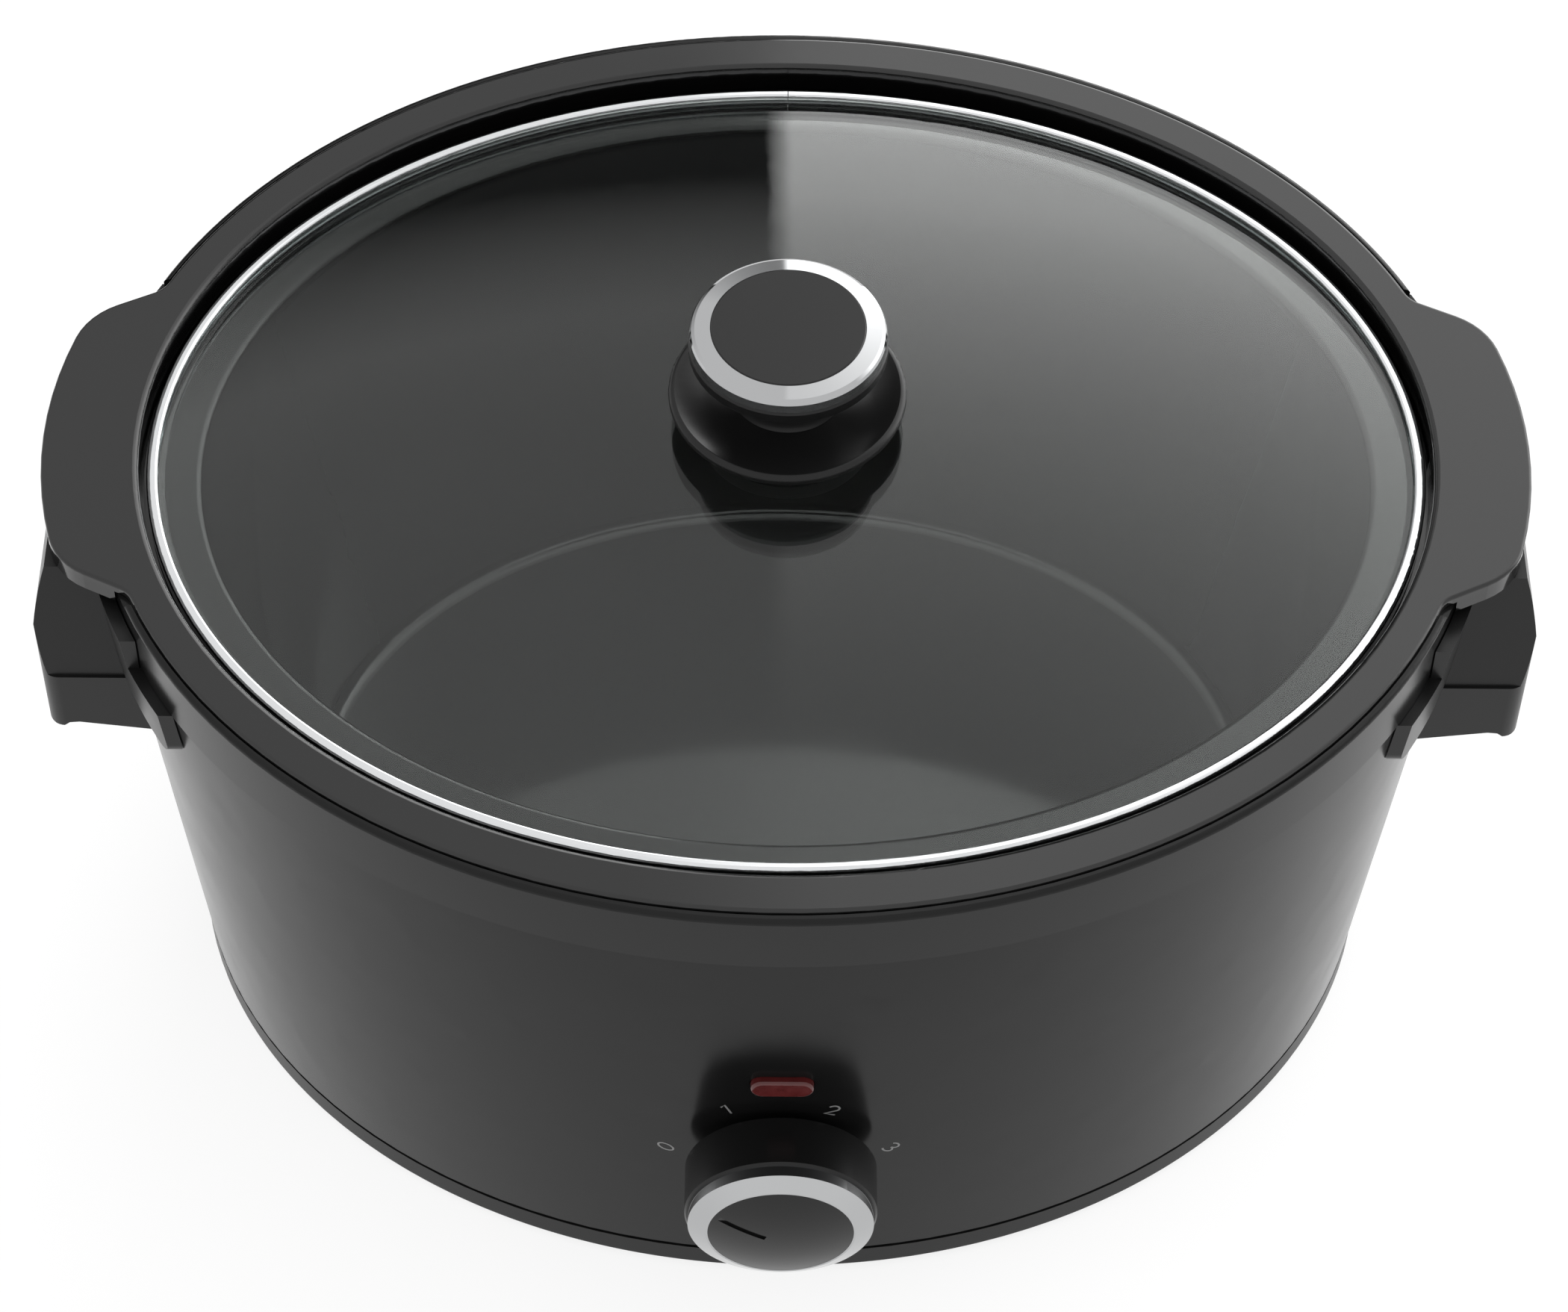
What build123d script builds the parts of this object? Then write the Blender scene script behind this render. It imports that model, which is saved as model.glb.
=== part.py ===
"""Oval slow cooker: housing with heater and controls, lift-out stoneware crock, glass lid, control dial.

Millimetres. +Z is up, the control dial faces -Y, and the feet stand on Z = 0.
Every sub-part is modelled about the housing's own vertical axis and written shifted by BODY_Y.
"""
from build123d import *
import math
import os

# Overall placing
BODY_Y = 8.6              # the housing's axis sits this far behind the middle of the object's length in Y
RUNNING = 0.04            # radial clearance of the turning shaft
FIT = 0.25                # clearance between nested curved walls

# Housing wall: an oval cone, (half length, half width) at its lower and upper edges
WALL_LOW_Z, WALL_LOW = 10.4, (165.53, 136.53)
WALL_TOP_Z, WALL_TOP = 166.6, (177.65, 150.3)
WALL_THICK = 1.0

# Base ring, underside and feet
RING_BOTTOM_Z = 3.0
RING_FOOT, RING_TOP = (165.6, 137.4), (165.5, 136.8)
GROOVE_Z = 9.6
FLOOR_PLATE_Z = 7.0
FLOOR_PLATE_THICK = 1.0
FOOT_X, FOOT_Y, FOOT_R = 100.0, 79.0, 9.0
EARTH_SPOT = (40.0, 95.0)
RING_SCREW_SPOTS = [(155.0, 0.0), (-155.0, 0.0), (0.0, 126.0), (0.0, -126.0)]

# Collar around the top of the housing
COLLAR = (178.15, 150.8)
COLLAR_HOLE = (174.4, 145.2)
COLLAR_TOP_Z = 183.1
COLLAR_LIP_Z = 185.0      # top of the lip that stands round the crock flange, between the ears
LIP_END_Y = 55.5
TONGUE_Z = 157.0

# Heating chamber
LINER_FLOOR_Z = 20.0
LINER_LOW, LINER_TOP = (154.0, 125.0), (164.5, 134.5)
LINER_THICK = 1.0
LINER_FLANGE = (175.4, 148.0)
HEATER_Z = (37.0, 53.0)
HEATER_THICK = 1.8
WRAP_Z = (86.0, 150.0)
WRAP_THICK = 6.0

# Crock
CROCK_BOTTOM_Z, CROCK_FLOOR_Z = 27.0, 35.0
CROCK_LOW, CROCK_HIGH = (141.5, 112.1), (160.5, 130.5)
CROCK_SHOULDER_Z = 166.0
CROCK_NECK = (173.3, 143.6)
MOUTH_LOW, MOUTH_HIGH = (132.0, 102.6), (151.0, 121.0)
LEDGE_Z = 175.5
RECESS_LOW, RECESS_HIGH = (166.3, 136.0), (166.9, 136.9)
FLANGE = (176.2, 148.0)
FLANGE_Z = (183.3, 185.8)
EAR_BOTTOM_Z = 179.6
EAR_TIP_X, EAR_SIDE_X, EAR_SIDE_Y = 191.7, 184.0, 42.4
EAR_ROOT_X, EAR_ROOT_Y = 150.0, 58.9

# Lid
LID_RIM = (165.2, 133.0)
LID_RIM_WIDTH = 3.0
LID_RIM_Z = (175.8, 181.2)
GLASS = (163.9, 131.7)
GLASS_EDGE_Z = (176.6, 179.5)
GLASS_RISE = 17.5
GLASS_THICK = 4.0

# Lid knob
GLASS_TOP_Z = GLASS_EDGE_Z[1] + GLASS_RISE
SPACER_TOP_Z = GLASS_TOP_Z + 5.0
GASKET_THICK, GASKET_R, SPACER_R = 5.0, 22.5, 23.0
KNOB_SEAT_Z = SPACER_TOP_Z + 3.4
KNOB_HEAD_Z = 224.5
KNOB_TOP_Z = 229.0
KNOB_CAP_R, KNOB_RING_R, KNOB_HEAD_R = 19.6, 24.9, 25.2
KNOB_DISH_R = 30.4
SCREW_R = 2.5

# Control dial, its axis is parallel to Y at this height
DIAL_Z = 67.1
DIAL_BACK_Y, DIAL_RING_Y, DIAL_FACE_Y, DIAL_DOME = -146.1, -159.7, -165.1, 2.9
DIAL_R, DIAL_RING_R, DIAL_CAP_R = 24.8, 23.9, 18.7
POINTER_ANGLE = 65.0      # from straight up, towards -X
SHAFT_R = 3.0
SWITCH_R, SWITCH_Y = 13.0, (-137.4, -130.6)
SWITCH_NUT_AF = 14.0

# Indicator lamp
LENS_Z, LENS_W, LENS_H = 106.05, 16.0, 6.5
LENS_FRONT_Y, LENS_BACK_Y = -147.1, -141.6

# Side handles
HANDLE_Y = 46.0
HANDLE_CORNER_X, HANDLE_TIP_X = 192.4, 195.0
HANDLE_Z = (117.0, 179.2)
BAND_TOP_Z, BAND_DIP_Z = 143.0, 139.0
LEAN_Y = 38.5             # half width of the handle's upper part at its top
FACET_TURN = 0.9          # the corner facet's run along X for each millimetre along Y
PLATE_Y, PLATE_Z = 76.0, 149.0
PANEL_Y = 61.0            # half width of the part of the root plate that lies over the collar
PLATE_THICK = 3.4
SCREW_Y, SCREW_Z = 38.5, 150.0

# Cord entry at the back
GLAND_Z, GLAND_BORE_R = 27.0, 3.6
SLOT_X, SLOT_TOP_Z = 6.7, 33.7      # the notch up from the wall's lower edge that the gland slides into


def oval_at(axes, z):
    """A flat oval face of the two half axes at one height."""
    return Pos(0, 0, z) * Ellipse(*axes)


def grow(axes, by):
    return (axes[0] + by, axes[1] + by)


def oval(axes, low, high):
    """An upright oval prism."""
    return extrude(oval_at(axes, low), high - low)


def cone(low_axes, low, high_axes, high):
    """An oval cone between two heights."""
    return loft([oval_at(low_axes, low).face(), oval_at(high_axes, high).face()], ruled=True)


def wall_axes(z):
    """Half axes of the housing's outer wall at a height, along its taper."""
    share = (z - WALL_LOW_Z) / (WALL_TOP_Z - WALL_LOW_Z)
    return tuple(low + (high - low) * share for low, high in zip(WALL_LOW, WALL_TOP))


def liner_axes(z):
    """Half axes of the heating chamber's outer wall at a height."""
    share = (z - LINER_FLOOR_Z) / (TONGUE_Z - LINER_FLOOR_Z)
    return tuple(low + (high - low) * share for low, high in zip(LINER_LOW, LINER_TOP))


def wall_cone(offset, low, high):
    return cone(grow(wall_axes(low), offset), low, grow(wall_axes(high), offset), high)


def liner_cone(offset, low, high):
    return cone(grow(liner_axes(low), offset), low, grow(liner_axes(high), offset), high)


def rod(radius, low, high, x=0.0, y=0.0):
    """An upright round bar."""
    return Pos(x, y, low) * extrude(Circle(radius), high - low)


def bar_y(radius, start, end, x=0.0, z=0.0):
    """A round bar parallel to Y."""
    return Pos(x, (start + end) / 2, z) * Rot(90, 0, 0) * Cylinder(radius, abs(end - start))


def bar_x(radius, start, end, y=0.0, z=0.0):
    """A round bar parallel to X."""
    return Pos((start + end) / 2, y, z) * Rot(0, 90, 0) * Cylinder(radius, abs(end - start))


def block(low, high):
    """A box between two opposite corners."""
    size = [b - a for a, b in zip(low, high)]
    middle = [(a + b) / 2 for a, b in zip(low, high)]
    return Pos(*middle) * Box(*size)


def turned(points):
    """A solid turned about Z from a closed outline of (radius, height) points."""
    outline = make_face(Polyline(*[(r, 0, z) for r, z in points], close=True))
    return revolve(outline, Axis.Z)


def edges_at(shape, low, high):
    """The edges lying wholly between two heights."""
    found = []
    for edge in shape.edges():
        box = edge.bounding_box()
        if box.min.Z >= low and box.max.Z <= high:
            found.append(edge)
    return found


# --- Housing ---------------------------------------------------------------------------------

def outer_shell():
    shell = wall_cone(0, WALL_LOW_Z, WALL_TOP_Z)
    shell -= wall_cone(-WALL_THICK, WALL_LOW_Z - 1, WALL_TOP_Z + 1)
    shell -= bar_y(5.2, -150, -130, z=DIAL_Z)
    shell -= lens_prism(LENS_W + 0.4, LENS_H + 0.4, -150, -135)
    shell -= block((-SLOT_X, 120, WALL_LOW_Z - 1), (SLOT_X, 150, SLOT_TOP_Z))
    for side in (-1, 1):
        for y in (-SCREW_Y, SCREW_Y):
            shell -= bar_x(2.2, side * 150, side * 185, y, SCREW_Z)
    return shell


def top_collar():
    """The collar, with a thin lip round the crock flange that stops short of the ears."""
    band = oval(COLLAR, WALL_TOP_Z, COLLAR_LIP_Z)
    band = fillet(edges_at(band, COLLAR_LIP_Z - 0.1, COLLAR_LIP_Z + 0.1), 1.3)
    band -= oval(grow(FLANGE, 0.5), COLLAR_TOP_Z, COLLAR_LIP_Z + 1)
    band -= block((-200, -LIP_END_Y, COLLAR_TOP_Z), (200, LIP_END_Y, COLLAR_LIP_Z + 1))
    tongue = cone(grow(wall_axes(TONGUE_Z), -WALL_THICK - FIT), TONGUE_Z,
                  grow(wall_axes(WALL_TOP_Z), -WALL_THICK - FIT), WALL_TOP_Z)
    return band + tongue - oval(COLLAR_HOLE, TONGUE_Z - 1, COLLAR_LIP_Z + 1)


def base_ring():
    skirt = cone(RING_FOOT, RING_BOTTOM_Z, RING_TOP, GROOVE_Z)
    skirt = fillet(edges_at(skirt, RING_BOTTOM_Z - 0.1, RING_BOTTOM_Z + 0.1), 0.8)
    seat = oval(grow(WALL_LOW, -0.6), GROOVE_Z, WALL_LOW_Z)
    upstand = oval(grow(WALL_LOW, -WALL_THICK - 0.6), WALL_LOW_Z, 17.0)
    ring = skirt + seat + upstand
    ring -= oval((161.4, 132.4), FLOOR_PLATE_Z, 20)
    ring -= oval((151.0, 122.0), 4.5, 20)
    ring -= oval((163.2, 134.6), 0, 4.5)
    for x, y in RING_SCREW_SPOTS:
        ring -= rod(1.6, 0, 20, x, y)
    return ring


def bottom_plate():
    plate = oval((161.0, 132.0), FLOOR_PLATE_Z, FLOOR_PLATE_Z + FLOOR_PLATE_THICK)
    for x, y in RING_SCREW_SPOTS:
        plate -= rod(1.6, 0, 20, x, y)
    for x in (-FOOT_X, FOOT_X):
        for y in (-FOOT_Y, FOOT_Y):
            plate -= rod(3.2, 0, 20, x, y)
    for row in range(-3, 4):
        for side in (-1, 1):
            slot = Pos(side * 62, row * 9.0, 0) * extrude(SlotOverall(26, 3.2), 20)
            plate -= slot
    plate -= rod(2.0, 0, 20, *EARTH_SPOT)
    return plate - rod(2.7, 0, 20)


def foot(x, y):
    """A push-in rubber foot: pad, stem through the bottom plate, and retaining bead."""
    pad = turned([(0, 0), (FOOT_R - 0.8, 0), (FOOT_R, 0.8), (FOOT_R - 0.8, FLOOR_PLATE_Z), (0, FLOOR_PLATE_Z)])
    stem = rod(3.15, FLOOR_PLATE_Z, FLOOR_PLATE_Z + 1.0)
    bead = turned([(0, 8.0), (4.6, 8.0), (4.6, 9.0), (2.6, 12.0), (0, 12.0)])
    return Pos(x, y, 0) * (pad + stem + bead)


def ring_screws():
    """The four pan-head screws that hold the bottom plate to the base ring."""
    screws = []
    for x, y in RING_SCREW_SPOTS:
        head = rod(2.9, 2.4, 4.5, x, y)
        shank = rod(1.5, 4.5, 11.0, x, y)
        cross = Pos(x, y, 2.4) * (Box(3.4, 0.8, 1.6) + Box(0.8, 3.4, 1.6))
        screws.append(head + shank - cross)
    return Compound(screws)


def heating_liner():
    body = liner_cone(0, LINER_FLOOR_Z, TONGUE_Z)
    body = fillet(edges_at(body, LINER_FLOOR_Z - 0.1, LINER_FLOOR_Z + 0.1), 12.0)
    inside = liner_cone(-LINER_THICK, LINER_FLOOR_Z + LINER_THICK, TONGUE_Z + 5)
    inside = fillet(edges_at(inside, LINER_FLOOR_Z, LINER_FLOOR_Z + 2), 11.0)
    lip = oval(LINER_FLANGE, TONGUE_Z - LINER_THICK, TONGUE_Z)
    return body + lip - inside - rod(2.7, 0, 40)


def heater_band():
    """A flat mica heater strapped round the chamber, open at the back between two lugs."""
    band = liner_cone(0.15 + HEATER_THICK, *HEATER_Z) - liner_cone(0.15, HEATER_Z[0] - 1, HEATER_Z[1] + 1)
    band -= block((-7, 100, 30), (7, 150, 60))
    for side in (-1, 1):
        lug = block((side * 7 - 0.8, 127.2, 39), (side * 7 + 0.8, 136, 51))
        band += lug - bar_x(2.1, -10, 10, 132, 45)
    return band


def clamp_screw():
    shank = bar_x(2.0, -14, 10.6, 132, 45)
    head = bar_x(3.5, 7.8, 10.6, 132, 45)
    return shank + head


def clamp_nut():
    hexagon = RegularPolygon(3.1, 6, major_radius=False)
    nut = Pos(-9.7, 132, 45) * Rot(0, 90, 0) * extrude(hexagon, 1.6, both=True)
    return nut - bar_x(2.05, -20, 0, 132, 45)


def insulation_wrap():
    """A glass-fibre blanket round the upper chamber, cut away behind the lamp and the handle screws."""
    wrap = liner_cone(0.4 + WRAP_THICK, *WRAP_Z) - liner_cone(0.4, WRAP_Z[0] - 1, WRAP_Z[1] + 1)
    return wrap - block((-22, -160, 80), (22, -100, 120))


def centre_bolt():
    head = Pos(0, 0, 3.6) * extrude(RegularPolygon(4.0, 6, major_radius=False), 3.4)
    return head + rod(SCREW_R, 7.0, 24.4)


def centre_nut():
    nut = Pos(0, 0, LINER_FLOOR_Z + 1.0) * extrude(RegularPolygon(4.0, 6, major_radius=False), 3.2)
    return nut - rod(SCREW_R + 0.05, 0, 40)


def liner_spacer():
    tube = rod(6.0, FLOOR_PLATE_Z + FLOOR_PLATE_THICK, LINER_FLOOR_Z)
    return tube - rod(SCREW_R + 0.3, 0, 40)


def thermostat():
    """A bimetal disc limiter pressed against the underside of the chamber."""
    disc = rod(8.0, 13.0, LINER_FLOOR_Z, -42, 0)
    case = rod(6.5, 10.5, 13.0, -42, 0)
    ears = block((-56, -3.5, LINER_FLOOR_Z - 0.8), (-28, 3.5, LINER_FLOOR_Z))
    return disc + case + ears


def thermal_fuse():
    return bar_x(2.0, 34, 56, 0, 15.5) + bar_x(0.5, 26, 64, 0, 15.5)


def fuse_clip():
    """A steel saddle that holds the fuse against the underside of the chamber."""
    saddle = block((41, -6, LINER_FLOOR_Z - 0.8), (49, 6, LINER_FLOOR_Z))
    strap = bar_x(3.0, 41, 49, 0, 15.5) + block((41, -3.0, 15.5), (49, 3.0, LINER_FLOOR_Z))
    return saddle + strap - bar_x(2.05, 30, 60, 0, 15.5)


# --- Controls --------------------------------------------------------------------------------

def lens_prism(width, height, start, end):
    """A prism parallel to Y with the lamp window's rounded outline."""
    outline = RectangleRounded(width, height, height / 2 - 0.01)
    return Pos(0, end, LENS_Z) * Rot(90, 0, 0) * extrude(outline, end - start)


def indicator_lens():
    window = lens_prism(LENS_W, LENS_H, LENS_FRONT_Y, LENS_BACK_Y)
    front = [e for e in window.edges() if e.bounding_box().max.Y < LENS_FRONT_Y + 0.1]
    window = fillet(front, 0.8)
    return window + lens_prism(LENS_W + 2.4, LENS_H + 2.4, -143.1, LENS_BACK_Y)


def lamp_holder():
    holder = block((-10.5, LENS_BACK_Y, LENS_Z - 4.4), (10.5, -135.0, LENS_Z + 4.4))
    holder -= bar_x(2.6, -7.0, 7.0, -138.6, LENS_Z)
    return holder - block((-6.5, LENS_BACK_Y - 1, LENS_Z - 2.2), (6.5, -138.6, LENS_Z + 2.2))


def indicator_lamp():
    return bar_x(2.5, -6.0, 6.0, -138.6, LENS_Z)


def rotary_switch():
    body = bar_y(SWITCH_R, *SWITCH_Y, z=DIAL_Z)
    bush = bar_y(5.0, -146.4, SWITCH_Y[0], z=DIAL_Z)
    tabs = Compound([])
    for x in (-8.0, 0.0, 8.0):
        tabs += block((x - 1.6, -134.8, DIAL_Z - 17.5), (x + 1.6, -134.0, DIAL_Z - 8))
    return body + bush + tabs - bar_y(SHAFT_R + RUNNING, -150, -133.0, z=DIAL_Z)


def switch_bracket():
    plate = block((-17, -138.6, DIAL_Z - 11), (17, -137.5, DIAL_Z + 17))
    return plate - bar_y(5.1, -150, -130, z=DIAL_Z)


def switch_nut():
    """The flat nut that clamps the switch's threaded bush to the housing wall, under the dial."""
    outline = RegularPolygon(SWITCH_NUT_AF / 2, 6, major_radius=False)
    nut = Pos(0, -142.3, DIAL_Z) * Rot(90, 0, 0) * extrude(outline, 2.0)
    return nut - bar_y(5.05, -150, -130, z=DIAL_Z)


def switch_shaft():
    """The switch's spindle with a flat for the dial's hub."""
    shaft = bar_y(SHAFT_R, -157.4, -133.2, z=DIAL_Z)
    return shaft - block((-4, -160, DIAL_Z + 1.6), (4, -146.8, DIAL_Z + 4))


def dial_barrel():
    """The dial's hollow body with its hub."""
    shape = bar_y(DIAL_R, DIAL_RING_Y, DIAL_BACK_Y, z=DIAL_Z)
    rim = [e for e in shape.edges() if e.bounding_box().max.Y < DIAL_RING_Y + 0.1]
    shape = chamfer(rim, 0.5)
    shape -= bar_y(DIAL_R - 2.2, DIAL_RING_Y + 2.4, DIAL_BACK_Y + 1, z=DIAL_Z)
    hub = bar_y(6.2, DIAL_RING_Y + 2.4, -147.6, z=DIAL_Z)
    flat = block((-4, -157.5, DIAL_Z + 1.65), (4, -147, DIAL_Z + 4))
    bore = bar_y(SHAFT_R + 0.02, -157.5, -147, z=DIAL_Z) - flat
    return shape + hub - bore


def dial_ring():
    ring = bar_y(DIAL_RING_R, DIAL_FACE_Y, DIAL_RING_Y, z=DIAL_Z)
    front = [e for e in ring.edges() if e.bounding_box().max.Y < DIAL_FACE_Y + 0.1]
    ring = chamfer(front, 2.4, 4.6)
    return ring - bar_y(DIAL_CAP_R + 0.05, -170, -150, z=DIAL_Z)


def dial_cap():
    """The domed front of the dial with its engraved pointer."""
    drum = bar_y(DIAL_CAP_R, DIAL_FACE_Y - DIAL_DOME, DIAL_RING_Y, z=DIAL_Z)
    ball_r = (DIAL_CAP_R ** 2 + DIAL_DOME ** 2) / (2 * DIAL_DOME)
    ball = Pos(0, DIAL_FACE_Y - DIAL_DOME + ball_r, DIAL_Z) * Sphere(ball_r)
    cap = drum & ball
    groove = block((-0.8, -170, 4.3), (0.8, DIAL_FACE_Y - 0.4, 17.4))
    deep = Pos(0, DIAL_FACE_Y - DIAL_DOME + ball_r, DIAL_Z) * Sphere(ball_r - 0.7)
    turned_groove = Pos(0, 0, DIAL_Z) * Rot(0, -POINTER_ANGLE, 0) * groove
    return cap - (turned_groove - deep)


# --- Side handles ----------------------------------------------------------------------------

def handle_outline(corner):
    """The right handle's plan outline with rounded outer corners."""
    side = Polyline((150, HANDLE_Y), (150, -HANDLE_Y), (HANDLE_CORNER_X, -HANDLE_Y))
    tip = ThreePointArc((HANDLE_CORNER_X, -HANDLE_Y), (HANDLE_TIP_X, 0), (HANDLE_CORNER_X, HANDLE_Y))
    close = Line((HANDLE_CORNER_X, HANDLE_Y), (150, HANDLE_Y))
    face = make_face(side + tip + close)
    corners = [v for v in face.vertices() if v.X > 160]
    return fillet(corners, corner)


def handle_plate():
    """The root that hugs the wall: a wide foot below the collar, and a narrower panel over it."""
    band = wall_cone(PLATE_THICK, PLATE_Z, HANDLE_Z[1])
    foot_part = block((100, -PLATE_Y, PLATE_Z), (200, PLATE_Y, WALL_TOP_Z - 0.4))
    ends = [e for e in foot_part.edges().filter_by(Axis.X) if e.center().Z < PLATE_Z + 1]
    panel = block((100, -PANEL_Y, PLATE_Z + 3), (200, PANEL_Y, HANDLE_Z[1] - 2))
    return band & (fillet(ends, 5.0) + panel)


def corner_facets():
    """Two curved wedges that take the outer corners off the handle's upper part, more so lower down."""
    top = HANDLE_Z[1] + 2
    curve = ThreePointArc((182.6, BAND_TOP_Z + 1.5), (187.0, 164.0), (185.2, top))
    outline = make_face(curve + Polyline((185.2, top), (215, top), (215, BAND_DIP_Z), (190.4, BAND_DIP_Z),
                                         (182.6, BAND_TOP_Z + 1.5)))
    wedges = []
    for side in (-1, 1):
        face = Pos(0, side * HANDLE_Y, 0) * Plane.XZ * outline
        wedges.append(extrude(face, 14.0, dir=(FACET_TURN, -side, 0), both=True))
    return wedges[0] + wedges[1]


def below_handle():
    """What lies under the handle: its lower edge rises outwards and ends in a small downturned lip."""
    edge = Polyline((140, 110), (140, 118.0), (163.0, 120.8), (184.6, 124.2), (187.2, 123.9), (188.7, 122.6),
                    (191.0, 122.3), (210, 122.3), (210, 110), close=True)
    return extrude(make_face(Plane.XZ * edge), 60, both=True)


def right_handle():
    low, high = HANDLE_Z
    band = extrude(Pos(0, 0, low) * handle_outline(5.0), BAND_TOP_Z - low)
    dip = Polyline((183.0, BAND_TOP_Z + 1), (183.0, BAND_TOP_Z), (189.5, BAND_DIP_Z), (210, BAND_DIP_Z),
                   (210, BAND_TOP_Z + 1), close=True)
    corners = extrude(make_face(Plane.XZ * dip), 60, both=True) - block((170, -33, low), (220, 33, high))
    grip = extrude(Pos(0, 0, low) * handle_outline(5.0), high - low)
    for side in (-1, 1):
        lean = Polyline((side * 60, BAND_TOP_Z), (side * (HANDLE_Y - 0.9), BAND_TOP_Z),
                        (side * LEAN_Y, high + 0.5), (side * 60, high + 0.5), close=True)
        grip -= extrude(make_face(Plane.YZ * lean), 220, both=True)
    bulge = make_face(Polyline((192.8, low), (140, low), (140, high), (188.2, high))
                      + ThreePointArc((188.2, high), (194.4, 145.0), (192.8, low)))
    body = (band - corners + (grip - corner_facets())) & extrude(Plane.XZ * bulge, 80, both=True)
    body -= below_handle()
    body += handle_plate()
    body -= wall_cone(FIT, low - 5, WALL_TOP_Z)
    body -= oval(grow(COLLAR, FIT), WALL_TOP_Z - 0.2, high + 5)
    body -= finger_recess()
    for y in (-SCREW_Y, SCREW_Y):
        body -= bar_x(1.98, 150, 184, y, SCREW_Z)
    return body


def finger_recess():
    """The hollow under the grip, open at the bottom, that fingers go up into."""
    low_face = Pos(166, 0, 110) * RectangleRounded(46.0, 78.0, 6.0)
    high_face = Pos(164.5, 0, HANDLE_Z[1] - 4) * RectangleRounded(46.0, 60.0, 6.0)
    hollow = loft([low_face.face(), high_face.face()], ruled=True)
    return hollow - wall_cone(2.0, 100, WALL_TOP_Z + 20)


def left_handle():
    return mirror(right_handle(), Plane.YZ)


def handle_screws():
    """The four screws that hold the handles from inside the housing."""
    screws = []
    for side in (-1, 1):
        for y in (-SCREW_Y, SCREW_Y):
            shank = bar_x(1.95, side * 167.8, side * 181.0, y, SCREW_Z)
            head = bar_x(3.6, side * 165.4, side * 167.8, y, SCREW_Z)
            screws.append(shank + head)
    return Compound(screws)


# --- Cord entry and wiring -------------------------------------------------------------------

def cord_gland():
    """The bushing where the supply cord enters, slid up into the notch at the back of the wall."""
    cover = block((-9.5, 139.0, 11.0), (9.5, 142.4, 36.5))
    cover = fillet([e for e in cover.edges().filter_by(Axis.Y) if e.center().Z > 30], 5.0)
    nose = bar_y(6.6, 142.4, 147.0, z=GLAND_Z)
    neck = block((0.2 - SLOT_X, 135.6, 17.3), (SLOT_X - 0.2, 139.0, SLOT_TOP_Z - 0.2))
    clip = block((-8.5, 132.8, 17.3), (8.5, 135.6, 36.0))
    return cover + nose + neck + clip - bar_y(GLAND_BORE_R, 120, 160, z=GLAND_Z)


def terminal_block():
    blank = block((-20, 88, 8.0), (20, 102, 17.0))
    for x in (-13, 0, 13):
        blank -= rod(2.2, 12.0, 20.0, x, 95)
        blank -= bar_y(1.6, 80, 110, x, 11.0)
    return blank


def terminal_screws():
    screws = []
    for x in (-13, 0, 13):
        slot = block((x - 2, 94.7, 15.4), (x + 2, 95.3, 17))
        screws.append(rod(2.1, 12.6, 16.0, x, 95) - slot)
    return Compound(screws)


def earth_screw():
    return rod(3.4, 8.0, 10.0, *EARTH_SPOT) + rod(1.9, 4.0, 8.0, *EARTH_SPOT)


def wire(points, bend, radius=1.1):
    """A round wire of straight runs joined by tangent bends."""
    path = FilletPolyline(*points, radius=bend)
    start = Plane(origin=path @ 0, z_dir=path % 0)
    return sweep(start * Circle(radius), path)


def wire_line():
    return wire([(-13, 87.5, 11), (-13, -112, 11), (-8, -133.0, 23), (-8, -133.0, 49)], 8)


def wire_neutral():
    return wire([(13, 87.5, 11), (13, 20, 11), (70, 20, 12), (130, 20, 14), (160, 20, 24), (160, 20, 52)], 8)


def wire_heater():
    return wire([(26, -4, 13), (14, -60, 11), (8, -112, 11), (8, -133.0, 23), (8, -133.0, 49)], 8)


def wire_lamp():
    return wire([(-5, -133.6, 81.0), (-5, -133.6, 92.0), (-8, -137.0, 101.0)], 3)


# --- Crock -----------------------------------------------------------------------------------

def ear_outline():
    """Both lifting tabs as one plan outline, before they are joined to the flange."""
    sides = []
    for side in (-1, 1):
        root_low, root_high = (side * EAR_ROOT_X, -EAR_ROOT_Y), (side * EAR_ROOT_X, EAR_ROOT_Y)
        low, high = (side * EAR_SIDE_X, -EAR_SIDE_Y), (side * EAR_SIDE_X, EAR_SIDE_Y)
        tip = ThreePointArc(low, (side * EAR_TIP_X, 0), high)
        face = make_face(Polyline(high, root_high, root_low, low) + tip)
        corners = [v for v in face.vertices() if abs(v.X) > EAR_ROOT_X + 5]
        sides.append(fillet(corners, 19.0))
    return sides[0] + sides[1]


def flange_outline():
    joined = Ellipse(*FLANGE) + ear_outline()
    inner = [v for v in joined.vertices() if 155 < abs(v.X) < 172 and 45 < abs(v.Y) < 58]
    return fillet(inner, 7.0)


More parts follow.
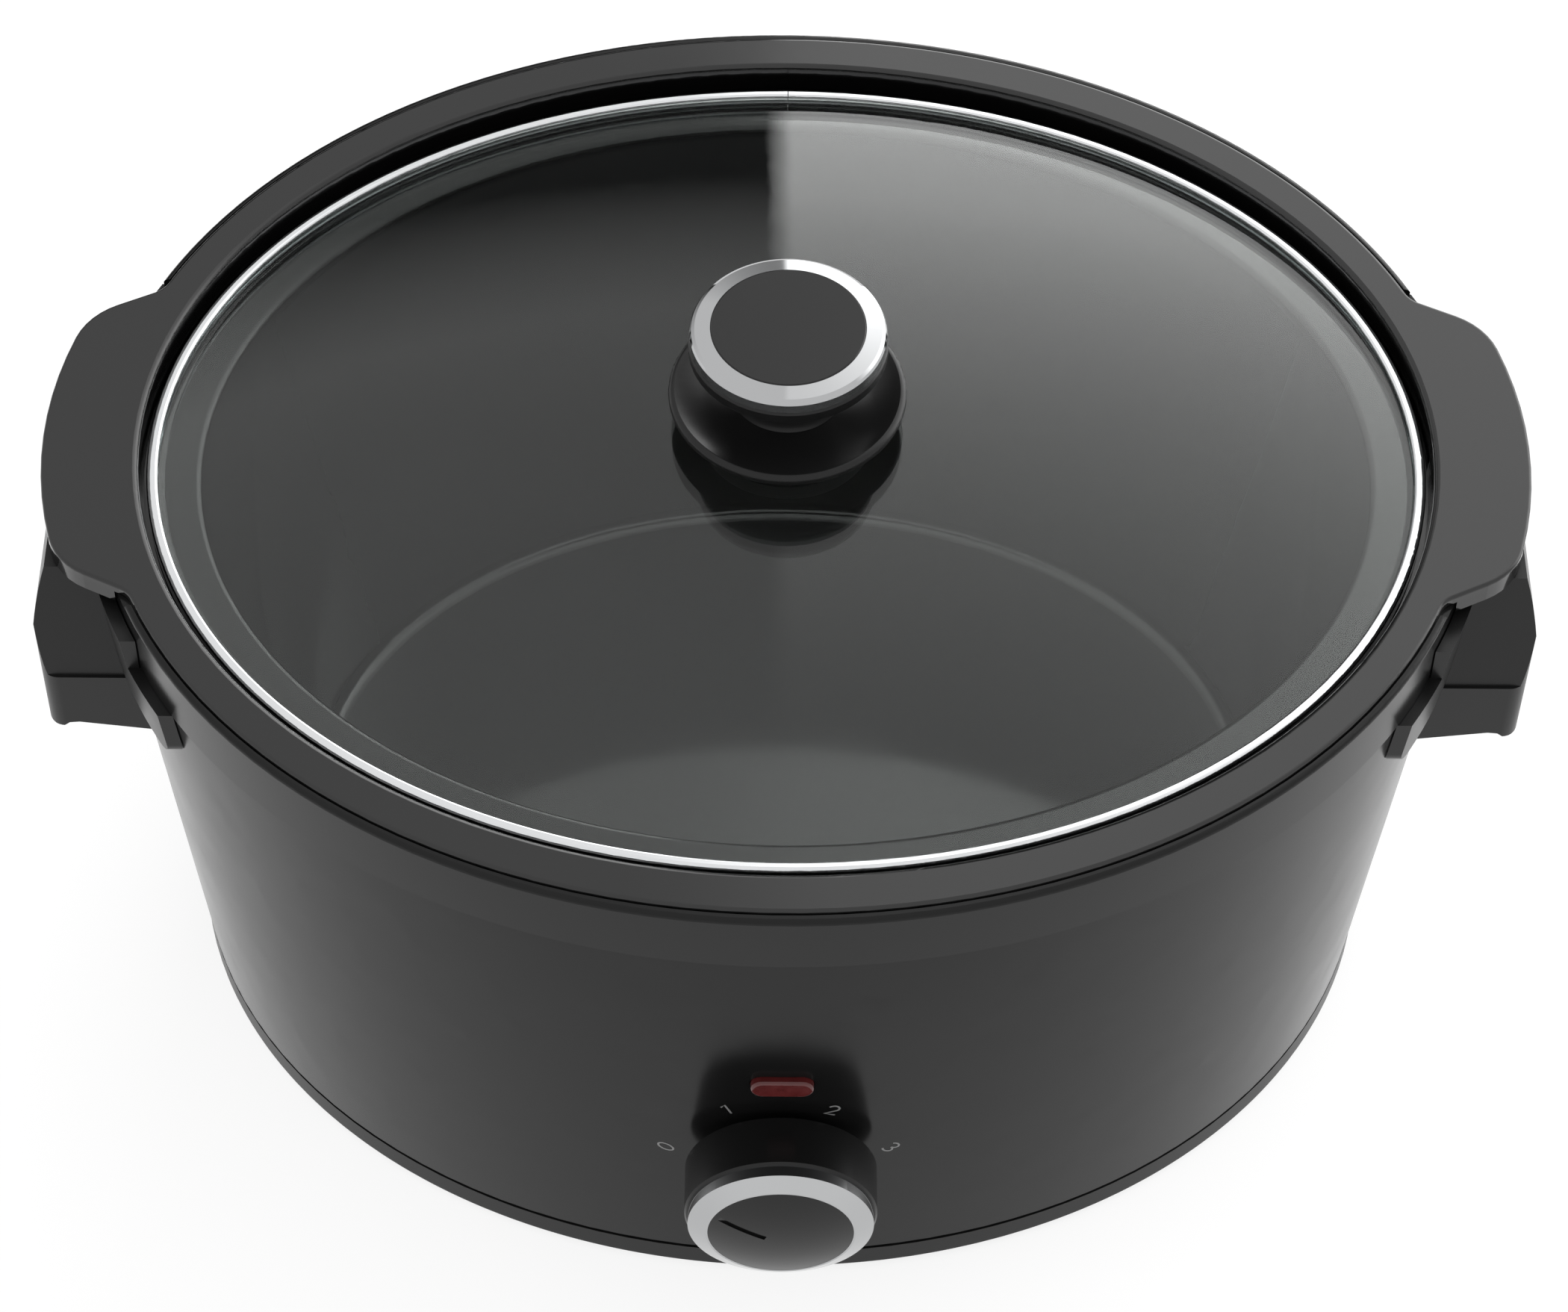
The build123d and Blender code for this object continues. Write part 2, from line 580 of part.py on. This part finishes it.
def crock():
    body = cone(CROCK_LOW, CROCK_BOTTOM_Z, CROCK_HIGH, CROCK_SHOULDER_Z)
    body = fillet(edges_at(body, CROCK_BOTTOM_Z - 0.1, CROCK_BOTTOM_Z + 0.1), 8.0)
    neck = oval(CROCK_NECK, CROCK_SHOULDER_Z, FLANGE_Z[1] - 1)
    neck = fillet(edges_at(neck, CROCK_SHOULDER_Z - 0.1, CROCK_SHOULDER_Z + 0.1), 3.0)
    outline = flange_outline()
    plate = extrude(Pos(0, 0, FLANGE_Z[0]) * outline, FLANGE_Z[1] - FLANGE_Z[0])
    tabs = extrude(Pos(0, 0, EAR_BOTTOM_Z) * outline, FLANGE_Z[1] - EAR_BOTTOM_Z)
    tabs -= oval(grow(COLLAR, 0.6), EAR_BOTTOM_Z - 1, FLANGE_Z[0])
    slab = plate + tabs
    slab = fillet(edges_at(slab, FLANGE_Z[1] - 0.1, FLANGE_Z[1] + 0.1), 0.9)
    shape = body + neck + slab
    hollow = cone(MOUTH_LOW, CROCK_FLOOR_Z, MOUTH_HIGH, LEDGE_Z)
    hollow = fillet(edges_at(hollow, CROCK_FLOOR_Z - 0.1, CROCK_FLOOR_Z + 0.1), 4.0)
    recess = cone(RECESS_LOW, LEDGE_Z, RECESS_HIGH, FLANGE_Z[1] + 0.01)
    shape -= recess
    shape -= hollow + oval(MOUTH_HIGH, LEDGE_Z, LEDGE_Z + 1)
    lip = edges_at(shape, LEDGE_Z - 0.1, LEDGE_Z + 0.1)
    mouth = [e for e in lip if e.bounding_box().max.X < MOUTH_HIGH[0] + 0.5]
    shape = fillet(mouth, 1.6)
    brim = [e for e in edges_at(shape, FLANGE_Z[1] - 0.1, FLANGE_Z[1] + 0.1)
            if abs(e.bounding_box().max.X - RECESS_HIGH[0]) < 0.2]
    return fillet(brim, 1.4)


# --- Lid -------------------------------------------------------------------------------------

def dome(radius, edge_z, rise, width_ratio):
    """A shallow oval cap: a slice of a sphere, narrowed in Y."""
    ball_r = (radius ** 2 + rise ** 2) / (2 * rise)
    half_way_z = edge_z + rise - ball_r + math.sqrt(ball_r ** 2 - radius ** 2 / 4)
    arc = ThreePointArc((radius, 0, edge_z), (radius / 2, 0, half_way_z), (0, 0, edge_z + rise))
    outline = make_face(Polyline((0, 0, edge_z + rise), (0, 0, edge_z), (radius, 0, edge_z)) + arc)
    return scale(revolve(outline, Axis.Z), (1, width_ratio, 1))


def lid_glass():
    ratio = GLASS[1] / GLASS[0]
    outer = dome(GLASS[0], GLASS_EDGE_Z[1], GLASS_RISE, ratio)
    edge = oval(GLASS, GLASS_EDGE_Z[0], GLASS_EDGE_Z[1])
    inner_r = GLASS[0] - 3.5
    inner_z = GLASS_EDGE_Z[0] - 0.01
    inner = dome(inner_r, inner_z, GLASS_TOP_Z - GLASS_THICK - inner_z - 0.01, ratio)
    return outer + edge - inner - rod(4.0, 150, 220)


def lid_rim():
    """The rolled steel band round the edge of the glass, open inwards, its ends butted at the back."""
    low, high = LID_RIM_Z
    band = oval(LID_RIM, low, high) - oval(grow(LID_RIM, -LID_RIM_WIDTH), low - 1, high + 1)
    crown = edges_at(band, high - 0.1, high + 0.1)
    band = fillet([e for e in crown if e.bounding_box().max.X > LID_RIM[0] - 0.1], 1.3)
    crown = edges_at(band, high - 0.1, high + 0.1)
    band = fillet([e for e in crown if e.bounding_box().max.X < LID_RIM[0] - LID_RIM_WIDTH + 0.1], 0.7)
    foot_edges = edges_at(band, low - 0.1, low + 0.1)
    band = fillet([e for e in foot_edges if e.bounding_box().max.X > LID_RIM[0] - 0.1], 0.8)
    channel = oval(grow(GLASS, 0.12), GLASS_EDGE_Z[0] - 0.1, GLASS_EDGE_Z[1] + 0.75)
    return band - channel - block((-0.12, 120, 170), (0.12, 140, 190))


def knob_gasket():
    """The thick silicone washer under the glass, with a sleeve through its hole."""
    top = GLASS_TOP_Z - GLASS_THICK - 0.7
    washer = rod(GASKET_R, top - GASKET_THICK, top)
    washer = fillet(edges_at(washer, top - GASKET_THICK - 0.1, top - GASKET_THICK + 0.1), 0.8)
    return washer + rod(3.9, top, GLASS_TOP_Z) - rod(SCREW_R + 0.1, 150, 230)


def knob_spacer():
    """The silicone ring between the glass and the knob's dish."""
    ring = rod(SPACER_R, GLASS_TOP_Z + 0.05, SPACER_TOP_Z)
    return ring - rod(SCREW_R + 0.1, 150, 230)


def knob_washer():
    top = GLASS_TOP_Z - GLASS_THICK - 0.7 - GASKET_THICK
    return rod(10.0, top - 1.2, top) - rod(SCREW_R + 0.1, 150, 230)


def knob_screw():
    seat = GLASS_TOP_Z - GLASS_THICK - 1.9 - GASKET_THICK
    head = turned([(0, seat - 3.0), (3.2, seat - 3.0), (4.8, seat - 1.4), (4.8, seat), (0, seat)])
    cross = Pos(0, 0, seat - 3.0) * (Box(5.0, 1.1, 2.4) + Box(1.1, 5.0, 2.4))
    return head + rod(SCREW_R, seat, 216.0) - cross


def knob_base():
    """The dished foot of the lid knob."""
    under = SPACER_TOP_Z + 0.05
    rim = make_face(Polyline((2.6, 0, KNOB_SEAT_Z), (2.6, 0, under), (24.0, 0, under), (28.9, 0, under + 0.8))
                    + ThreePointArc((28.9, 0, under + 0.8), (KNOB_DISH_R, 0, under + 2.3),
                                    (28.8, 0, under + 4.1))
                    + ThreePointArc((28.8, 0, under + 4.1), (21.5, 0, under + 2.4), (14.6, 0, KNOB_SEAT_Z))
                    + Line((14.6, 0, KNOB_SEAT_Z), (2.6, 0, KNOB_SEAT_Z)))
    return revolve(rim, Axis.Z)


def knob_body():
    """The waisted grip of the lid knob."""
    waist = ThreePointArc((14.4, 0, KNOB_SEAT_Z), (13.2, 0, 211.0), (17.4, 0, 217.6))
    flare = ThreePointArc((17.4, 0, 217.6), (22.4, 0, 219.6), (KNOB_HEAD_R - 0.4, 0, 221.0))
    side = Polyline((KNOB_HEAD_R - 0.4, 0, 221.0), (KNOB_HEAD_R, 0, 221.5), (KNOB_HEAD_R, 0, 224.0),
                    (KNOB_HEAD_R - 0.5, 0, KNOB_HEAD_Z), (0, 0, KNOB_HEAD_Z), (0, 0, 217.0), (2.55, 0, 217.0),
                    (2.55, 0, KNOB_SEAT_Z), (14.4, 0, KNOB_SEAT_Z))
    return revolve(make_face(waist + flare + side), Axis.Z)


def knob_ring():
    """The chromed ring round the top of the knob: upright side, bevel, and a face that falls outwards."""
    inner = KNOB_CAP_R + 0.05
    return turned([(inner, KNOB_HEAD_Z), (KNOB_RING_R - 0.2, KNOB_HEAD_Z), (KNOB_RING_R, KNOB_HEAD_Z + 0.3),
                   (KNOB_RING_R - 0.1, 227.2), (KNOB_RING_R - 0.5, 227.9), (KNOB_RING_R - 1.3, 228.4),
                   (inner, KNOB_TOP_Z)])


def knob_cap():
    disc = rod(KNOB_CAP_R, KNOB_HEAD_Z, KNOB_TOP_Z + 0.2)
    return chamfer(edges_at(disc, KNOB_TOP_Z, KNOB_TOP_Z + 1), 0.3)


NODES = {
    "outer_shell": outer_shell, "top_collar": top_collar, "base_ring": base_ring,
    "bottom_plate": bottom_plate, "ring_screws": ring_screws, "heating_liner": heating_liner,
    "heater_band": heater_band, "clamp_screw": clamp_screw, "clamp_nut": clamp_nut,
    "insulation_wrap": insulation_wrap, "centre_bolt": centre_bolt, "centre_nut": centre_nut,
    "liner_spacer": liner_spacer, "thermostat": thermostat, "thermal_fuse": thermal_fuse,
    "fuse_clip": fuse_clip, "indicator_lens": indicator_lens, "lamp_holder": lamp_holder,
    "indicator_lamp": indicator_lamp, "rotary_switch": rotary_switch, "switch_bracket": switch_bracket,
    "switch_nut": switch_nut, "left_handle": left_handle, "right_handle": right_handle,
    "handle_screws": handle_screws, "cord_gland": cord_gland, "terminal_block": terminal_block,
    "terminal_screws": terminal_screws, "earth_screw": earth_screw, "wire_line": wire_line,
    "wire_neutral": wire_neutral, "wire_heater": wire_heater, "wire_lamp": wire_lamp,
    "crock": crock, "lid_glass": lid_glass, "lid_rim": lid_rim, "knob_gasket": knob_gasket,
    "knob_spacer": knob_spacer, "knob_washer": knob_washer, "knob_screw": knob_screw, "knob_base": knob_base,
    "knob_body": knob_body, "knob_ring": knob_ring, "knob_cap": knob_cap,
    "switch_shaft": switch_shaft, "dial_barrel": dial_barrel, "dial_ring": dial_ring,
    "dial_cap": dial_cap,
}


def write(name, shape):
    export_step(Pos(0, BODY_Y, 0) * shape, f"parts/{name}.step")


os.makedirs("parts", exist_ok=True)
for node, make in NODES.items():
    write(node, make())
for front, y in (("front", -FOOT_Y), ("rear", FOOT_Y)):
    for left, x in (("left", -FOOT_X), ("right", FOOT_X)):
        write(f"foot_{front}_{left}", foot(x, y))
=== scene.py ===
"""Looks of the oval slow cooker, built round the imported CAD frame. Metres, in the row frame."""

import math

import bpy
from mathutils import Matrix, Vector


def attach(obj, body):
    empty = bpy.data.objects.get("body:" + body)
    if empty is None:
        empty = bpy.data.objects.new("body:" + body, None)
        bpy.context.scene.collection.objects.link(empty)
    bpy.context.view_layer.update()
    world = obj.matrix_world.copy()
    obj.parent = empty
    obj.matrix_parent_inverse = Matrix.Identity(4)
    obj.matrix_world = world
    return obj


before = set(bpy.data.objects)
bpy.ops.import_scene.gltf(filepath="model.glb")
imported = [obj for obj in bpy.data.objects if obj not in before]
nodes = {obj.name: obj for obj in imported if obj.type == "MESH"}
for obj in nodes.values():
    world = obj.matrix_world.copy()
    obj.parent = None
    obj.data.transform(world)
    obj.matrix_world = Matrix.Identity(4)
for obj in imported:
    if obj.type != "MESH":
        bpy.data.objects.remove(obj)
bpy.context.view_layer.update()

CAMERA_AT = (-0.00602, -0.74976, 1.05968)
CAMERA_TURN = (-0.46, 51.8, 0.82)    # azimuth, elevation and roll in degrees
SENSOR, LENS = 36.0, 102.93          # millimetres

AXIS_Y = 0.0086                      # the housing's upright axis, in Y
WALL_LOW_Z, WALL_HEIGHT = 0.0104, 0.1562
WALL_LOW = (0.16553, 0.13653)        # the wall's half axes at its foot
WALL_FLARE = (0.01212, 0.01377)      # what they gain by the top
INK_SINK, INK_LIFT = 0.00003, 0.00004    # how far the printed ink reaches into and out of the wall
STROKE = 0.55                        # its line width in millimetres
# The printed numbers: across and up on the wall, and their turn from upright in degrees.
SCALE = [(-0.0299, 0.0670, -50), (-0.0141, 0.0910, -22), (0.0130, 0.0911, 22), (0.0285, 0.0680, 50)]
NUMBER_SIZE = 1.2
BACK_RIGHT, BACK_LEFT = 2.3, 0.97    # what the studio's brightness gains and loses behind the object
FLOOR_HALF = 3.0
PACKED = "packed_"                   # put before the names of the materials that came with the frame


# --- Camera, floor and light -----------------------------------------------------------------

def add_camera():
    """The view from above and in front, turned very slightly."""
    azimuth, elevation, roll = (math.radians(a) for a in CAMERA_TURN)
    right = Vector((math.cos(azimuth), math.sin(azimuth), 0))
    back = Vector((math.sin(azimuth) * math.cos(elevation), -math.cos(azimuth) * math.cos(elevation),
                   math.sin(elevation)))
    up = back.cross(right)
    across = right * math.cos(roll) + up * math.sin(roll)
    along = up * math.cos(roll) - right * math.sin(roll)
    data = bpy.data.cameras.new("camera")
    data.sensor_fit, data.sensor_width, data.lens = "HORIZONTAL", SENSOR, LENS
    data.clip_start, data.clip_end = 0.05, 50.0
    camera = bpy.data.objects.new("camera", data)
    bpy.context.scene.collection.objects.link(camera)
    turn = Matrix((across, along, back)).transposed().to_4x4()
    camera.matrix_world = Matrix.Translation(CAMERA_AT) @ turn
    bpy.context.scene.camera = camera


def add_floor():
    """A plain pale floor that glows a little, so that shadows on it stay light."""
    mesh = bpy.data.meshes.new("floor")
    half = FLOOR_HALF
    corners = [(-half, -half, 0), (half, -half, 0), (half, half, 0), (-half, half, 0)]
    mesh.from_pydata(corners, [], [(0, 1, 2, 3)])
    floor = bpy.data.objects.new("floor", mesh)
    bpy.context.scene.collection.objects.link(floor)
    tree, out = shader_tree("floor")
    paint = principled(tree, out, (0.25, 0.25, 0.25), 0.9, specular=0.0)
    paint.inputs["Emission Color"].default_value = (1.0, 1.0, 1.0, 1.0)
    paint.inputs["Emission Strength"].default_value = 0.8
    floor.data.materials.append(bpy.data.materials["floor"])


def add_world():
    """A white studio, brighter behind to the right.

    Low down behind to the left it is dark, in reflections only. x, y and z are a direction's components.
    """
    world = bpy.data.worlds.new("studio")
    bpy.context.scene.world = world
    world.use_nodes = True
    tree = world.node_tree
    place = tree.nodes.new("ShaderNodeTexCoord")
    parts = tree.nodes.new("ShaderNodeSeparateXYZ")
    tree.links.new(place.outputs["Generated"], parts.inputs[0])
    x, y, z = parts.outputs
    behind = remap(tree, y, 0, 1, 0.0, 0.25)
    right = combine(tree, "MULTIPLY", behind, remap(tree, x, 0, 1, -0.008, 0.008))
    bright = combine(tree, "MULTIPLY", right, remap(tree, z, BACK_RIGHT, 0, 0.45, 0.97))
    left = combine(tree, "MULTIPLY", behind, remap(tree, x, 0, 1, 0.008, -0.008))
    left = combine(tree, "MULTIPLY", left, remap(tree, x, 0, 1, -0.8, -0.35))
    dark = combine(tree, "MULTIPLY", left, remap(tree, z, BACK_LEFT, 0, 0.42, 0.62))
    seen = tree.nodes.new("ShaderNodeLightPath").outputs["Is Camera Ray"]
    dark = combine(tree, "MULTIPLY", dark, combine(tree, "SUBTRACT", 1.0, seen))
    level = combine(tree, "SUBTRACT", combine(tree, "ADD", bright, 1.0), dark)
    background = tree.nodes["Background"]
    background.inputs["Color"].default_value = (1.0, 1.0, 1.0, 1.0)
    tree.links.new(level, background.inputs["Strength"])


# --- Materials -------------------------------------------------------------------------------

def shader_tree(name):
    """A new material's empty node tree and its output."""
    material = bpy.data.materials.new(name)
    material.use_nodes = True
    tree = material.node_tree
    tree.nodes.clear()
    return tree, tree.nodes.new("ShaderNodeOutputMaterial")


def principled(tree, out, colour, roughness, metallic=0.0, specular=0.5):
    shader = tree.nodes.new("ShaderNodeBsdfPrincipled")
    shader.inputs["Base Color"].default_value = (*colour, 1.0)
    shader.inputs["Roughness"].default_value = roughness
    shader.inputs["Metallic"].default_value = metallic
    shader.inputs["Specular IOR Level"].default_value = specular
    tree.links.new(shader.outputs[0], out.inputs["Surface"])
    return shader


def noise(tree, scale, detail=3.0, stretch=(1.0, 1.0, 1.0)):
    """Noise over the object's own coordinates, scale in features per metre."""
    place = tree.nodes.new("ShaderNodeTexCoord")
    spread = tree.nodes.new("ShaderNodeMapping")
    spread.inputs["Scale"].default_value = stretch
    tree.links.new(place.outputs["Object"], spread.inputs["Vector"])
    texture = tree.nodes.new("ShaderNodeTexNoise")
    texture.inputs["Scale"].default_value = scale
    texture.inputs["Detail"].default_value = detail
    tree.links.new(spread.outputs[0], texture.inputs["Vector"])
    return texture


def combine(tree, operation, first, second):
    """One sum on two values, each a number or a socket."""
    node = tree.nodes.new("ShaderNodeMath")
    node.operation = operation
    for socket, value in zip(node.inputs, (first, second)):
        if isinstance(value, float):
            socket.default_value = value
        else:
            tree.links.new(value, socket)
    return node.outputs[0]


def remap(tree, value, low, high, start=0.3, end=0.7):
    """A value between start and end brought between low and high, and held there beyond."""
    node = tree.nodes.new("ShaderNodeMapRange")
    node.inputs["From Min"].default_value = start
    node.inputs["From Max"].default_value = end
    node.inputs["To Min"].default_value = low
    node.inputs["To Max"].default_value = high
    tree.links.new(value, node.inputs["Value"])
    return node.outputs["Result"]


def bump(tree, shader, height, depth):
    """Relief of a depth in metres."""
    node = tree.nodes.new("ShaderNodeBump")
    node.inputs["Strength"].default_value = 1.0
    node.inputs["Distance"].default_value = depth
    tree.links.new(height, node.inputs["Height"])
    tree.links.new(node.outputs[0], shader.inputs["Normal"])
    return node


def surface(name, colour, rough, metallic=0.0, specular=0.5, shade=0.15, grain=400.0, depth=0.0,
            patch=25.0, stretch=(1.0, 1.0, 1.0)):
    """A moulded, painted or metal finish with soft patches of colour and gloss, and a fine grain."""
    tree, out = shader_tree(name)
    shader = principled(tree, out, colour, sum(rough) / 2, metallic, specular)
    blotch = noise(tree, patch, 2.0, stretch)
    tree.links.new(remap(tree, blotch.outputs["Fac"], *rough), shader.inputs["Roughness"])
    ramp = tree.nodes.new("ShaderNodeMix")
    ramp.data_type = "RGBA"
    ramp.inputs["A"].default_value = (*(c * (1 - shade) for c in colour), 1.0)
    ramp.inputs["B"].default_value = (*(min(1.0, c * (1 + shade)) for c in colour), 1.0)
    tree.links.new(blotch.outputs["Fac"], ramp.inputs["Factor"])
    tree.links.new(ramp.outputs["Result"], shader.inputs["Base Color"])
    if depth:
        bump(tree, shader, noise(tree, grain, 2.0, stretch).outputs["Fac"], depth)
    return shader


def glass_material():
    """Clear glass with thin reflections, very slightly tinted."""
    tree, out = shader_tree("lid_glass")
    shader = principled(tree, out, (0.93, 0.96, 0.945), 0.0)
    shader.inputs["Transmission Weight"].default_value = 1.0
    shader.inputs["IOR"].default_value = 1.36


def glaze_material():
    """Black glaze with painted light and painted shade in its colour: painted greyer inside the crock
    below the ledge, and painted darkest in the recess round the lid.
    """
    shader = surface("glaze_black", (0.010, 0.010, 0.0105), (0.07, 0.13), patch=18, grain=60,
                     depth=0.00001)
    tree = bpy.data.materials["glaze_black"].node_tree
    place = tree.nodes.new("ShaderNodeTexCoord")
    parts = tree.nodes.new("ShaderNodeSeparateXYZ")
    tree.links.new(place.outputs["Object"], parts.inputs[0])
    # Painted light: the glaze colour is painted greyer below the ledge, under z 0.172 m, and falls to
    # its darkest at 0.1755 m.
    painted_light_below_ledge = remap(tree, parts.outputs[2], 0.030, 0.002, 0.172, 0.1755)
    # Painted shade: the colour stays darkest from the ledge up to 0.1825 m, in the recess round the lid,
    # and rises again above it.
    painted_recess_shade_end = remap(tree, parts.outputs[2], 0.0, 0.007, 0.1825, 0.1850)
    level = combine(tree, "ADD", painted_light_below_ledge, painted_recess_shade_end)
    # The painted light and the painted recess shade together set the glaze's base colour.
    tree.links.new(level, shader.inputs["Base Color"])


def make_materials():
    surface("housing_black", (0.005, 0.005, 0.005), (0.16, 0.20), specular=0.1, grain=900,
            depth=0.0000015)
    surface("collar_black", (0.005, 0.005, 0.005), (0.16, 0.20), specular=0.22, grain=1500,
            depth=0.000002)
    surface("plastic_black", (0.007, 0.007, 0.007), (0.28, 0.36), specular=0.28, grain=2500,
            depth=0.000008)
    surface("knob_black", (0.006, 0.006, 0.006), (0.20, 0.26), specular=0.3, grain=2500,
            depth=0.000004)
    surface("ink_grey", (0.19, 0.19, 0.19), (0.45, 0.55), grain=2500, depth=0.000001)
    glaze_material()
    glass_material()
    surface("rim_steel", (0.72, 0.73, 0.74), (0.08, 0.14), metallic=1.0, shade=0.06, grain=300,
            depth=0.000001)
    surface("chrome", (0.44, 0.445, 0.45), (0.03, 0.06), metallic=1.0, shade=0.04, grain=300,
            depth=0.0000006)
    surface("lens_red", (0.075, 0.010, 0.010), (0.14, 0.24), shade=0.35, patch=350, grain=500,
            depth=0.00004)
    surface("zinc_steel", (0.52, 0.53, 0.55), (0.25, 0.42), metallic=1.0, grain=800, depth=0.00001)
    surface("liner_aluminium", (0.70, 0.71, 0.72), (0.30, 0.45), metallic=1.0, grain=300, depth=0.00001,
            stretch=(1, 1, 12))
    surface("heater_mica", (0.33, 0.30, 0.24), (0.35, 0.6), shade=0.35, patch=60, grain=300,
            depth=0.00005)
    surface("glass_fibre", (0.82, 0.81, 0.77), (0.85, 0.95), shade=0.12, patch=90, grain=700,
            depth=0.0005, stretch=(1, 1, 3))
    surface("brass", (0.71, 0.52, 0.22), (0.22, 0.35), metallic=1.0, grain=900, depth=0.000008)
    surface("plastic_white", (0.74, 0.73, 0.69), (0.35, 0.45), shade=0.05, grain=2000,
            depth=0.00001)
    surface("lamp_glass", (0.75, 0.32, 0.12), (0.05, 0.12), shade=0.2)
    surface("ceramic_white", (0.80, 0.78, 0.74), (0.4, 0.55), shade=0.06, grain=1200, depth=0.00002)
    surface("rubber_black", (0.018, 0.018, 0.018), (0.65, 0.8), shade=0.25, grain=1800,
            depth=0.00003)
    surface("wire_brown", (0.11, 0.045, 0.018), (0.35, 0.45), grain=1500, depth=0.00001)
    surface("wire_blue", (0.02, 0.07, 0.32), (0.35, 0.45), grain=1500, depth=0.00001)


# --- Dial scale ------------------------------------------------------------------------------

def wall_point(x, z, lift):
    """A point on the front of the housing's oval wall, lifted outwards."""
    share = (z - WALL_LOW_Z) / WALL_HEIGHT
    half_x, half_y = (low + flare * share for low, flare in zip(WALL_LOW, WALL_FLARE))
    return (x, AXIS_Y - half_y * math.sqrt(1 - (x / half_x) ** 2) - lift, z)


def arc(centre, size, start, end, steps=14):
    """Points of an oval arc, angles in degrees from the right, anticlockwise."""
    points = []
    for step in range(steps + 1):
        angle = math.radians(start + (end - start) * step / steps)
        points.append((centre[0] + size[0] * math.cos(angle), centre[1] + size[1] * math.sin(angle)))
    return points


def numeral_strokes():
    """The centre lines of 0, 1, 2 and 3, about 4.2 mm high, in millimetres round their middles."""
    zero = arc((0, 0), (1.15, 1.9), 90, 450, 24)
    one = [(-0.8, 1.1), (0.35, 1.9), (0.35, -1.9)]
    two = arc((0, 0.8), (1.15, 1.1), 165, -35, 12) + [(-1.2, -1.85), (1.25, -1.85)]
    three = arc((-0.05, 0.95), (1.1, 0.95), 150, -90, 12)
    three += arc((-0.05, -0.95), (1.2, 0.95), 90, -150, 12)
    return [zero, one, two, three]


def stroke_mesh(line, width, centre):
    """A thin closed ribbon of ink laid on the wall along a centre line; a ring when its ends meet."""
    ring = math.dist(line[0], line[-1]) < 1e-6
    points = line[:-1] if ring else line
    count = len(points)
    verts = []
    for i, here in enumerate(points):
        before = points[(i - 1) % count] if ring or i else here
        after = points[(i + 1) % count] if ring or i < count - 1 else here
        run = Vector((after[0] - before[0], after[1] - before[1])).normalized() * (width / 2)
        for side in (-1, 1):
            x = centre[0] + (here[0] - side * run.y) / 1000
            z = centre[1] + (here[1] + side * run.x) / 1000
            verts += [wall_point(x, z, -INK_SINK), wall_point(x, z, INK_LIFT)]
    faces = []
    for i in range(count if ring else count - 1):
        a, b = 4 * i, 4 * ((i + 1) % count)
        faces += [(a + 1, a + 3, b + 3, b + 1), (a, b, b + 2, a + 2)]
        faces += [(a, a + 1, b + 1, b), (a + 2, b + 2, b + 3, a + 3)]
    if not ring:
        end = 4 * (count - 1)
        faces += [(0, 2, 3, 1), (end, end + 1, end + 3, end + 2)]
    return verts, faces


def add_numerals():
    """Plain numbers 0 to 3 printed on the wall round the dial."""
    verts, faces = [], []
    for line, (x, z, angle) in zip(numeral_strokes(), SCALE):
        turn = Matrix.Rotation(math.radians(-angle), 2) * NUMBER_SIZE
        turned = [tuple(turn @ Vector(point)) for point in line]
        more_verts, more_faces = stroke_mesh(turned, STROKE, (x, z))
        faces += [tuple(i + len(verts) for i in face) for face in more_faces]
        verts += more_verts
    mesh = bpy.data.meshes.new("dial_numbers")
    mesh.from_pydata(verts, [], faces)
    mesh.materials.append(bpy.data.materials["ink_grey"])
    numbers = bpy.data.objects.new("dial_numbers", mesh)
    bpy.context.scene.collection.objects.link(numbers)
    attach(numbers, "housing")


def dress_nodes():
    """Every carried-over CAD node takes the procedural finish of the slot it was packed with."""
    for ob in nodes.values():
        for place in ob.material_slots:
            place.material = bpy.data.materials[place.material.name.removeprefix(PACKED)]


for plain in list(bpy.data.materials):
    plain.name = PACKED + plain.name
make_materials()
dress_nodes()
add_world()
add_floor()
add_camera()
add_numerals()
bpy.context.scene.view_settings.view_transform = "Standard"
